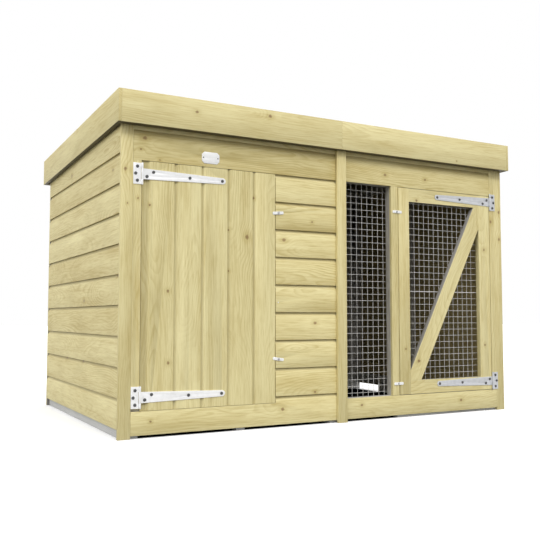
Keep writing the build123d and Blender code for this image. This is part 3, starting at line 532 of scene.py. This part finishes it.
class KennelTimberSettings(bpy.types.PropertyGroup):
    """Colours and surface of the timber."""
    pale: tint("Board pale", "Early wood of the boards", (0.84, 0.76, 0.42))
    deep: tint("Board deep", "Late wood of the boards", (0.53, 0.425, 0.165))
    stain: tint("Stain", "Green-brown treatment left in hollows", (0.48, 0.40, 0.17))
    strip_pale: tint("Strip pale", "Early wood of strips and fascia", (0.84, 0.76, 0.42))
    strip_deep: tint("Strip deep", "Late wood of strips and fascia", (0.56, 0.45, 0.18))
    sawn_pale: tint("Framing pale", "Early wood of the framing", (0.64, 0.63, 0.60))
    sawn_deep: tint("Framing deep", "Late wood of the framing", (0.30, 0.28, 0.23))
    sawn_stain: tint("Framing stain", "Weathering on the framing", (0.30, 0.29, 0.25))
    # Painted shade on the inner faces of the wall boards and the back faces of the kennel door.
    inner: tint("Inner face", "Rough inner faces of the boards", (0.36, 0.28, 0.13))
    # Painted shade on the inner faces of the back wall's boards. It is grey and kept lighter than on the other inner
    # faces, as painted light deep inside.
    rear_inner_shade: tint("Rear inner face", "Greyed inner faces of the back wall's boards", (0.46, 0.46, 0.47))
    # Painted shade, dark grey, on the back faces of the strips and on the sides and ends of the run door's members.
    cut: tint("Cut side", "Sawn sides of the strips and door members", (0.26, 0.26, 0.28))
    # Painted shade, near black, on the undersides and inner faces of the roof deck, fascia and edge rails.
    soffit_shade: tint("Soffit", "Underside and back of the fascia", (0.018, 0.015, 0.01))
    sill: tint("Sill", "Bleached wood of the side sills", (0.86, 0.86, 0.83))
    sill_deep: tint("Sill deep", "Late wood of the side sills", (0.6192, 0.6192, 0.5976))
    figure: bpy.props.FloatProperty(
        name="Figure", description="Contrast of the growth rings", default=0.34, min=0, max=1)
    relief: bpy.props.FloatProperty(
        name="Relief", description="Strength of the raised grain", default=0.25, min=0, max=1)
    arris: bpy.props.FloatProperty(
        name="Arris", description="Width of the eased edges in millimetres", default=0.7, min=0.2, max=3)


class KennelMetalSettings(bpy.types.PropertyGroup):
    """Colours and sizes of the metalwork."""
    wire: bpy.props.FloatProperty(
        name="Wire", description="Diameter of the mesh wire", default=0.0015, min=0.0005, max=0.004,
        subtype="DISTANCE", unit="LENGTH")
    wire_color: tint("Wire colour", "Galvanised wire", (0.78, 0.77, 0.75))
    hinge_color: tint("Hinge colour", "Plated hinge leaves", (0.86, 0.86, 0.86))
    run_hinge_color: tint("Run hinge colour", "Duller plated leaves on the run door", (0.58, 0.59, 0.61))
    screw_color: tint("Screw colour", "Dark screw heads", (0.10, 0.10, 0.10))


class KennelStageSettings(bpy.types.PropertyGroup):
    """Roof felt, floor, lamps and camera."""
    felt_dark: tint("Felt dark", "Dark grit of the felt", (0.06, 0.075, 0.06))
    felt_light: tint("Felt light", "Light grit of the felt", (0.17, 0.20, 0.16))
    sky: bpy.props.FloatProperty(
        name="Sky", description="Strength of the even light", default=1.0, min=0, max=2)
    key: bpy.props.FloatProperty(
        name="Key", description="Strength of the main lamp", default=1.3, min=0, max=10)
    fill: bpy.props.FloatProperty(
        name="Fill", description="Strength of the lamp from the left", default=0.9, min=0, max=10)
    lens: bpy.props.FloatProperty(
        name="Lens", description="Focal length in millimetres", default=49.15, min=10, max=200)


# Operators: one for each piece or group of like pieces

# The camera that took the photograph: its place in metres, and its turn in degrees
CAMERA_PLACE = (-1.6218, -3.0072, 0.4126)
CAMERA_TURN = (93.621, 0, -28.419)
# Each lamp with the setting for its strength, its turn and its softness in degrees
LAMPS = (("key_lamp", "key", (40, 0, 12), 16), ("fill_lamp", "fill", (62, 0, -72), 40))


class KENNEL_OT_stage(bpy.types.Operator):
    """Set the floor, the painted shade on the ground under the run, the lamps and the camera"""
    bl_idname = "kennel.stage"
    bl_label = "Stage"

    def execute(self, context):
        stage = context.scene.kennel_stage
        scene = context.scene
        scene.view_settings.view_transform = "Standard"
        bpy.ops.object.select_all(action="DESELECT")
        bpy.ops.mesh.primitive_plane_add(size=60, location=(0, 0, -0.0005))
        floor = bpy.context.object
        floor.name = "floor"
        settle(floor)
        floor.data.materials.append(floor_material())
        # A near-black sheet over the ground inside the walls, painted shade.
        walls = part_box("kennel_bearers")[0].x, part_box("run_front_bearer")[1].x
        front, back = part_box("front_frame_rails")[0].y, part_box("back_wall_frame")[1].y
        bpy.ops.mesh.primitive_plane_add(size=1, location=(sum(walls) / 2, (front + back) / 2, 0.0004))
        shade = bpy.context.object
        shade.name = "shaded_ground"
        shade.scale = (walls[1] - walls[0], back - front, 1)
        settle(shade)
        shade.data.materials.append(painted_shade_ground_material())

        world = scene.world or bpy.data.worlds.new("World")
        scene.world = world
        world.use_nodes = True
        tree = world.node_tree
        tree.nodes.clear()
        graph = Graph(tree)
        path = graph.add("ShaderNodeLightPath").outputs
        seen = graph.math("MAXIMUM", path["Is Camera Ray"],
                          graph.math("MAXIMUM", path["Is Glossy Ray"], path["Is Transmission Ray"]))
        plain = graph.add("ShaderNodeBackground", {"Color": (1, 1, 1, 1), "Strength": stage.sky})
        white = graph.add("ShaderNodeBackground", {"Color": (1, 1, 1, 1), "Strength": 1.0})
        both = graph.add("ShaderNodeMixShader", {0: seen, 1: plain.outputs[0], 2: white.outputs[0]})
        graph.add("ShaderNodeOutputWorld", {"Surface": both.outputs[0]})

        for name, strength, turn, softness in LAMPS:
            lamp = bpy.data.lights.new(name, "SUN")
            lamp.energy = getattr(stage, strength)
            lamp.angle = math.radians(softness)
            holder = bpy.data.objects.new(name, lamp)
            holder.rotation_euler = [math.radians(angle) for angle in turn]
            scene.collection.objects.link(holder)

        camera = bpy.data.cameras.new("camera")
        camera.lens = stage.lens
        camera.sensor_width = 36
        camera.clip_end = 100
        holder = bpy.data.objects.new("camera", camera)
        holder.location = CAMERA_PLACE
        holder.rotation_euler = [math.radians(angle) for angle in CAMERA_TURN]
        scene.collection.objects.link(holder)
        scene.camera = holder
        return {"FINISHED"}


def floor_material():
    """A white floor that keeps the object's soft shadow."""
    material, graph, _ = new_material("Studio floor")
    graph.tree.nodes.clear()
    path = graph.add("ShaderNodeLightPath").outputs
    seen = graph.math("MAXIMUM", path["Is Camera Ray"], path["Is Glossy Ray"])
    tone = graph.blend(seen, (0.10, 0.10, 0.10), (0.80, 0.80, 0.80))
    diffuse = graph.add("ShaderNodeBsdfDiffuse", {"Color": tone})
    glow = graph.add("ShaderNodeEmission", {"Color": (1, 1, 1, 1), "Strength": graph.math("MULTIPLY", seen, 0.3)})
    both = graph.add("ShaderNodeAddShader", {0: diffuse.outputs[0], 1: glow.outputs[0]})
    graph.add("ShaderNodeOutputMaterial", {"Surface": both.outputs[0]})
    return material


def painted_shade_ground_material():
    """Painted shade: a near-black sheet on the ground inside the walls."""
    material, _, shader = new_material("Shaded ground")
    shader["Base Color"].default_value = (0.012, 0.012, 0.012, 1)
    shader["Roughness"].default_value = 1.0
    shader["Specular IOR Level"].default_value = 0.0
    return material


class KENNEL_OT_base(bpy.types.Operator):
    """Finish the bearers, sills and cabin floor"""
    bl_idname = "kennel.base"
    bl_label = "Base"

    def execute(self, context):
        for node in ("kennel_bearers", "side_sills", "rear_bearer", "run_front_bearer"):
            timber_piece(node, "sill", easing=1.5)
        timber_piece("kennel_floor_boards", "boards", sort_axis=1)
        return {"FINISHED"}


class KENNEL_OT_frames(bpy.types.Operator):
    """Finish the framing of the walls, the partition and the roof joists"""
    bl_idname = "kennel.frames"
    bl_label = "Frames"

    def execute(self, context):
        for node in ("front_frame_studs", "front_frame_rails", "left_wall_frame", "right_wall_frame",
                     "back_wall_frame", "partition_frame", "roof_joists"):
            timber_piece(node, "sawn")
        return {"FINISHED"}


class KENNEL_OT_wall_boards(bpy.types.Operator):
    """Finish the overlapping boards of the sides, the back and the partition"""
    bl_idname = "kennel.wall_boards"
    bl_label = "Wall boards"

    def execute(self, context):
        left_tones = (0.2, 0.5, 0.25, 0.55, 0.45, 0.6, 0.1, 0.35, 0.6, 0.5, 0.3)
        # The inner faces of the side walls and the partition get painted shade.
        timber_piece("left_wall_boards", "boards", left_tones, 2, dull=[(1, 0, 0)])
        for node, way in (("right_wall_boards", (-1, 0, 0)), ("partition_boards", (-1, 0, 0))):
            timber_piece(node, "boards", sort_axis=2, dull=[way])
        # The back wall's inner faces get the lighter grey painted shade.
        timber_piece("back_wall_boards", "rear", sort_axis=2, dull=[(0, -1, 0)])
        return {"FINISHED"}


class KENNEL_OT_front_boards(bpy.types.Operator):
    """Finish the boards of the front"""
    bl_idname = "kennel.front_boards"
    bl_label = "Front boards"

    def execute(self, context):
        timber_piece("kennel_header_boards", "boards", (0.85, 0.7), 2)
        timber_piece("run_header_boards", "boards", (0.65, 0.6), 2)
        timber_piece("kennel_short_boards", "boards", (0.55, 0.38, 0.5, 0.5, 0.65, 0.5, 0.7, 0.35), 2)
        timber_piece("kennel_low_board", "boards", (0.35,))
        timber_piece("run_low_board", "boards", (0.25,))
        return {"FINISHED"}


class KENNEL_OT_strips(bpy.types.Operator):
    """Finish the corner, cover, hinge and latch strips"""
    bl_idname = "kennel.strips"
    bl_label = "Strips"

    def execute(self, context):
        # The back faces of the strips get painted shade.
        for node in ("kennel_hinge_strip", "run_hinge_strip", "run_latch_strip", "centre_cover_strip",
                     "front_left_corner_strip", "front_right_corner_strip"):
            timber_piece(node, "strips", (0.45,), dull=[(0, 1, 0)])
        timber_piece("rear_corner_strips", "strips", (0.35,), dull=[(0, -1, 0)])
        return {"FINISHED"}


class KENNEL_OT_roof_timber(bpy.types.Operator):
    """Finish the roof boards and the fascia"""
    bl_idname = "kennel.roof_timber"
    bl_label = "Roof timber"

    def execute(self, context):
        # The undersides and inner faces of the roof timber get near-black painted shade.
        timber_piece("roof_deck_boards", "fascia", sort_axis=1, dull=[(0, 0, -1)])
        for node, inward in (("front_fascia_boards", (0, 1, 0)), ("left_fascia_board", (1, 0, 0)),
                             ("right_fascia_board", (-1, 0, 0)), ("back_fascia_board", (0, -1, 0))):
            timber_piece(node, "fascia", (0.3, 0.2), dull=[inward, (0, 0, -1)])
        timber_piece("roof_edge_rails", "fascia", dull=[(1, 0, 0), (-1, 0, 0), (0, 1, 0), (0, -1, 0), (0, 0, -1)])
        return {"FINISHED"}


# Roof felt: strips, the lap of each on the next, sheet thickness and rise at a lap; nails along each lap
FELT_STRIPS = 3
FELT_LAP = 75 * MM
FELT_T = 2 * MM
FELT_RISE = 1.2 * MM
LAP_NAILS = 18


class KENNEL_OT_roof_felt(bpy.types.Operator):
    """Lay the mineral felt in three lapped strips with clout nails along the laps"""
    bl_idname = "kennel.roof_felt"
    bl_label = "Roof felt"

    def execute(self, context):
        source = NODES["roof_felt"]
        corners = [source.matrix_world @ Vector(corner) for corner in source.bound_box]
        low = Vector(min(c[i] for c in corners) for i in range(3))
        high = Vector(max(c[i] for c in corners) for i in range(3))
        fall = (high.z - low.z - FELT_T) / (high.y - low.y)

        def top(y):
            return high.z - fall * (y - low.y)

        width = (high.y - low.y) / FELT_STRIPS
        layers = []
        for index in range(FELT_STRIPS):
            y0 = low.y + index * width
            y1 = min(y0 + width + (FELT_LAP if index < FELT_STRIPS - 1 else 0), high.y)
            rise = FELT_RISE * (FELT_STRIPS - 1 - index)
            bpy.ops.mesh.primitive_grid_add(x_subdivisions=60, y_subdivisions=14, size=1,
                                            location=((low.x + high.x) / 2, (y0 + y1) / 2, 0))
            strip = bpy.context.object
            strip.scale = (high.x - low.x, y1 - y0, 1)
            settle(strip)
            rng = random.Random(index)
            phase = rng.uniform(0, 6)
            for vert in strip.data.vertices:
                x, y = vert.co.x, vert.co.y
                ripple = 0.25 * MM * (math.sin(23 * x + phase) * math.sin(17 * y + phase) + 1)
                vert.co.z = top(y) - FELT_T + rise + ripple
            modify(strip, "SOLIDIFY", thickness=FELT_T * 0.8, offset=1)
            modify(strip, "BEVEL", width=0.4 * MM, segments=1, limit_method="ANGLE", angle_limit=math.radians(60))
            layers.append(strip)
        felt = joined(layers, "roof_felt_strips")
        only(felt)
        bpy.ops.object.shade_smooth_by_angle(angle=math.radians(30))
        stands_for(felt, "roof_felt", felt_material(context.scene.kennel_stage))
        nails = []
        for index in range(1, FELT_STRIPS):
            y = low.y + index * width + FELT_LAP * 0.7
            for step in range(LAP_NAILS):
                x = low.x + (high.x - low.x) * (step + 0.5) / LAP_NAILS
                bpy.ops.mesh.primitive_uv_sphere_add(segments=10, ring_count=6, radius=1,
                                                     location=(x, y, top(y) + 2.0 * MM))
                nail = bpy.context.object
                nail.scale = (4 * MM, 4 * MM, 1.1 * MM)
                settle(nail)
                nails.append(nail)
        heads = joined(nails, "felt_clout_nails")
        only(heads)
        bpy.ops.object.shade_smooth()
        heads.data.materials.append(wire_material(context))
        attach(heads, "root")
        return {"FINISHED"}


class KENNEL_OT_kennel_door(bpy.types.Operator):
    """Finish the upright boards and ledges of the kennel door"""
    bl_idname = "kennel.kennel_door"
    bl_label = "Kennel door"

    def execute(self, context):
        # The back faces of the door boards get painted shade.
        timber_piece("kennel_door_boards", "door", (0.36, 0.17, 0.16, 0.36, 0.14), 0,
                     dull=[(0, 1, 0)])
        timber_piece("kennel_door_ledges", "sawn")
        return {"FINISHED"}


class KENNEL_OT_run_door(bpy.types.Operator):
    """Finish the stiles, rails and brace of the run door"""
    bl_idname = "kennel.run_door"
    bl_label = "Run door"

    def execute(self, context):
        # The stiles' ends and the sides and ends of the rails and brace get painted shade.
        sides = [(-1, 0, 0), (1, 0, 0), (0, 0, -1), (0, 0, 1)]
        timber_piece("run_door_stiles", "strips", (0.5, 0.3), dull=sides[2:])
        timber_piece("run_door_rails", "strips", (0.3, 0.35), 2, dull=sides)
        timber_piece("run_door_brace", "strips", (0.3,), dull=sides)
        return {"FINISHED"}


def wire_material(context):
    metal = context.scene.kennel_metal
    color = tuple(metal.wire_color)
    return metal_material("Galvanised wire", color, tuple(0.8 * c for c in color), 0.45, 0.2, 0.1)


def hole_edges(node):
    """Where a holed sheet's edges lie across it and up it in the CAD mesh, and its front and back."""
    mesh = NODES[node].data
    points = np.zeros(len(mesh.vertices) * 3)
    mesh.vertices.foreach_get("co", points)
    points = np.round(points.reshape(-1, 3), 5)
    return [np.unique(points[:, axis]) for axis in (0, 2)], points[:, 1].min(), points[:, 1].max()


def wire_lines(edges, thickness):
    """Wires lie between neighbouring edges that are one wire's thickness apart."""
    lines = []
    for near, far in zip(edges[:-1], edges[1:]):
        if abs(far - near - thickness) < 0.2 * thickness:
            lines.append((near + far) / 2)
    return lines


class KENNEL_OT_wire_mesh(bpy.types.Operator):
    """Lay straight round galvanised wires in two crossed layers in place of the flat holed sheets"""
    bl_idname = "kennel.wire_mesh"
    bl_label = "Wire mesh"

    def execute(self, context):
        metal = context.scene.kennel_metal
        radius = metal.wire / 2
        for node in ("run_fixed_mesh", "run_door_mesh_lower", "run_door_mesh_upper"):
            (across, upright), front, back = hole_edges(node)
            thickness = back - front
            wires = []
            low, high = upright[0], upright[-1]
            left, right = across[0], across[-1]
            for x in wire_lines(across, thickness):
                wires.append(self.wire((x, front + radius, (low + high) / 2), high - low, radius, (0, 0, 0)))
            for z in wire_lines(upright, thickness):
                place = ((left + right) / 2, front + 2.6 * radius, z)
                wires.append(self.wire(place, right - left, radius, (0, math.pi / 2, 0)))
            sheet = joined(wires, f"{node}_wires")
            only(sheet)
            bpy.ops.object.shade_smooth_by_angle(angle=math.radians(60))
            stands_for(sheet, node, wire_material(context))
        return {"FINISHED"}

    def wire(self, place, length, radius, turn):
        """One straight wire."""
        bpy.ops.object.select_all(action="DESELECT")
        bpy.ops.mesh.primitive_cylinder_add(vertices=8, radius=radius, depth=length, location=place, rotation=turn)
        obj = bpy.context.object
        settle(obj)
        return obj


def metal_piece(node, material, ease):
    """A metal node with its edges eased, standing for the CAD one."""
    obj = copy_node(node, "finished")
    modify(obj, "BEVEL", width=ease * MM, segments=2, limit_method="ANGLE",
           angle_limit=math.radians(40), use_clamp_overlap=True)
    only(obj)
    bpy.ops.object.shade_smooth_by_angle(angle=math.radians(35))
    return stands_for(obj, node, material)


class KENNEL_OT_hinges(bpy.types.Operator):
    """Finish the plates, straps and pins of the strap hinges"""
    bl_idname = "kennel.hinges"
    bl_label = "Hinges"

    def execute(self, context):
        metal = context.scene.kennel_metal
        for side, color in (("kennel", tuple(metal.hinge_color)), ("run", tuple(metal.run_hinge_color))):
            material = metal_material(f"Plated {side} hinge", color, tuple(0.82 * c for c in color), 0.38, 0.35)
            for part in ("plates", "straps"):
                metal_piece(f"{side}_hinge_{part}", material, 0.3)
            # The pins are darker than their leaves.
            pin = tuple(0.7 * c for c in color)
            metal_piece(f"{side}_hinge_pins", metal_material(f"Worn {side} pin", pin, pin, 0.42, 0.5), 0.3)
        return {"FINISHED"}


class KENNEL_OT_screws(bpy.types.Operator):
    """Make the domed cross-head screws, the nail and the name plate's pins"""
    bl_idname = "kennel.screws"
    bl_label = "Screws"

    def execute(self, context):
        metal = context.scene.kennel_metal
        dark = metal_material("Dulled screw", tuple(metal.screw_color), (0.05, 0.05, 0.05), 0.45, 0.6)
        grey = metal_material("Plated screw", (0.45, 0.45, 0.45), (0.36, 0.36, 0.36), 0.4, 0.5)
        bright = metal_material("Bright screw", (0.8, 0.8, 0.8), (0.6, 0.6, 0.6), 0.3, 0.7)
        for node, material, crossed in (
                ("hinge_plate_screws", dark, True), ("kennel_hinge_strap_screws", dark, True),
                ("run_hinge_strap_screws", dark, True), ("turn_button_screws", grey, True),
                ("name_plate_screws", dark, False), ("cladding_nail", bright, False)):
            self.replace(node, material, crossed)
        return {"FINISHED"}

    def replace(self, node, material, crossed):
        """Put a modelled screw at the place and size of each solid in the node."""
        merged = copy_node(node, "spots")
        points = np.zeros(len(merged.data.vertices) * 3)
        merged.data.vertices.foreach_get("co", points)
        points = points.reshape(-1, 3)
        screws = []
        rng = random.Random(node)
        for group in islands(merged.data):
            own = points[group]
            low, high = own.min(axis=0), own.max(axis=0)
            centre = (low + high) / 2
            radius = (high[0] - low[0]) / 2
            rim = own[np.hypot(own[:, 0] - centre[0], own[:, 2] - centre[2]) > 0.98 * radius]
            seat = rim[:, 1].max()
            screws.append(self.screw(centre, seat, low[1], high[1], radius, crossed, rng.uniform(0, math.pi)))
        bpy.data.objects.remove(merged)
        piece = joined(screws, f"{node}_turned")
        only(piece)
        bpy.ops.object.shade_smooth_by_angle(angle=math.radians(40))
        stands_for(piece, node, material)

    def screw(self, centre, seat, tip, end, radius, crossed, turn):
        """A domed head with a cross recess and a plain shank."""
        height = seat - tip
        bpy.ops.object.select_all(action="DESELECT")
        bpy.ops.mesh.primitive_cylinder_add(vertices=24, radius=radius, depth=height, location=(0, 0, height / 2))
        head = bpy.context.object
        settle(head)
        bpy.ops.object.mode_set(mode="EDIT")
        bpy.ops.mesh.select_all(action="DESELECT")
        bpy.ops.object.mode_set(mode="OBJECT")
        for face in head.data.polygons:
            face.select = face.normal.z > 0.9
        bpy.ops.object.mode_set(mode="EDIT")
        bpy.ops.mesh.select_mode(type="FACE")
        for inset in (0.10, 0.16, 0.22, 0.22):
            bpy.ops.mesh.inset(thickness=radius * inset)
        bpy.ops.object.mode_set(mode="OBJECT")
        for vert in head.data.vertices:
            if vert.co.z > height * 0.5:
                reach = math.hypot(vert.co.x, vert.co.y) / radius
                vert.co.z = height * (0.28 + 0.72 * math.sqrt(max(0.0, 1 - 0.98 * reach * reach)))
        if crossed:
            slots = []
            for angle in (turn, turn + math.pi / 2):
                bpy.ops.mesh.primitive_cube_add(size=1, location=(0, 0, height), rotation=(0, 0, angle))
                slot = bpy.context.object
                slot.scale = (radius, radius * 0.2, height * 0.9)
                settle(slot)
                slots.append(slot)
            for slot in slots:
                modify(head, "BOOLEAN", operation="DIFFERENCE", object=slot, solver="EXACT")
                bpy.data.objects.remove(slot)
        bpy.ops.object.select_all(action="DESELECT")
        shank = end - seat
        bpy.ops.mesh.primitive_cone_add(vertices=12, radius1=radius * 0.15, radius2=radius * 0.33, depth=shank,
                                        location=(0, 0, -shank / 2))
        stem = bpy.context.object
        settle(stem)
        whole = joined([head, stem], "screw")
        whole.rotation_euler = (math.pi / 2, 0, 0)
        whole.location = (centre[0], seat, centre[2])
        settle(whole)
        return whole


class KENNEL_OT_turn_buttons(bpy.types.Operator):
    """Finish the pressed turn buttons"""
    bl_idname = "kennel.turn_buttons"
    bl_label = "Turn buttons"

    def execute(self, context):
        material = metal_material("Bright pressed metal", (0.88, 0.88, 0.87), (0.7, 0.7, 0.7), 0.32, 0.3)
        for node in ("kennel_upper_turn_button", "kennel_lower_turn_button", "run_upper_turn_button",
                     "run_lower_turn_button"):
            metal_piece(node, material, 0.2)
        return {"FINISHED"}


class KENNEL_OT_name_plate(bpy.types.Operator):
    """Finish the blank plate on the kennel header"""
    bl_idname = "kennel.name_plate"
    bl_label = "Name plate"

    def execute(self, context):
        material = metal_material("White plate", (0.9, 0.9, 0.89), (0.78, 0.78, 0.77), 0.3, 0.1)
        metal_piece("name_plate", material, 0.4)
        return {"FINISHED"}


class KENNEL_PT_panel(bpy.types.Panel):
    """The kennel's pieces in the sidebar"""
    bl_label = "Kennel and run"
    bl_idname = "KENNEL_PT_panel"
    bl_space_type = "VIEW_3D"
    bl_region_type = "UI"
    bl_category = "Kennel"

    def draw(self, context):
        for name in ("kennel_timber", "kennel_metal", "kennel_stage"):
            group = getattr(context.scene, name)
            for key in group.bl_rna.properties.keys():
                if key not in ("rna_type", "name"):
                    self.layout.prop(group, key)
        for operator in PIECE_OPERATORS:
            self.layout.operator(operator.bl_idname)


SETTINGS = {
    "kennel_timber": KennelTimberSettings,
    "kennel_metal": KennelMetalSettings,
    "kennel_stage": KennelStageSettings,
}
PIECE_OPERATORS = (
    KENNEL_OT_stage, KENNEL_OT_base, KENNEL_OT_frames, KENNEL_OT_wall_boards, KENNEL_OT_front_boards,
    KENNEL_OT_strips, KENNEL_OT_roof_timber, KENNEL_OT_roof_felt, KENNEL_OT_kennel_door, KENNEL_OT_run_door,
    KENNEL_OT_wire_mesh, KENNEL_OT_hinges, KENNEL_OT_screws, KENNEL_OT_turn_buttons, KENNEL_OT_name_plate,
)


def register():
    for name, group in SETTINGS.items():
        bpy.utils.register_class(group)
        setattr(bpy.types.Scene, name, bpy.props.PointerProperty(type=group))
    for operator in (*PIECE_OPERATORS, KENNEL_PT_panel):
        bpy.utils.register_class(operator)


def unregister():
    for operator in reversed((*PIECE_OPERATORS, KENNEL_PT_panel)):
        bpy.utils.unregister_class(operator)
    for name, group in SETTINGS.items():
        delattr(bpy.types.Scene, name)
        bpy.utils.unregister_class(group)


def main():
    register()
    for operator in PIECE_OPERATORS:
        group, name = operator.bl_idname.split(".")
        getattr(getattr(bpy.ops, group), name)()


if __name__ == "__main__":
    main()
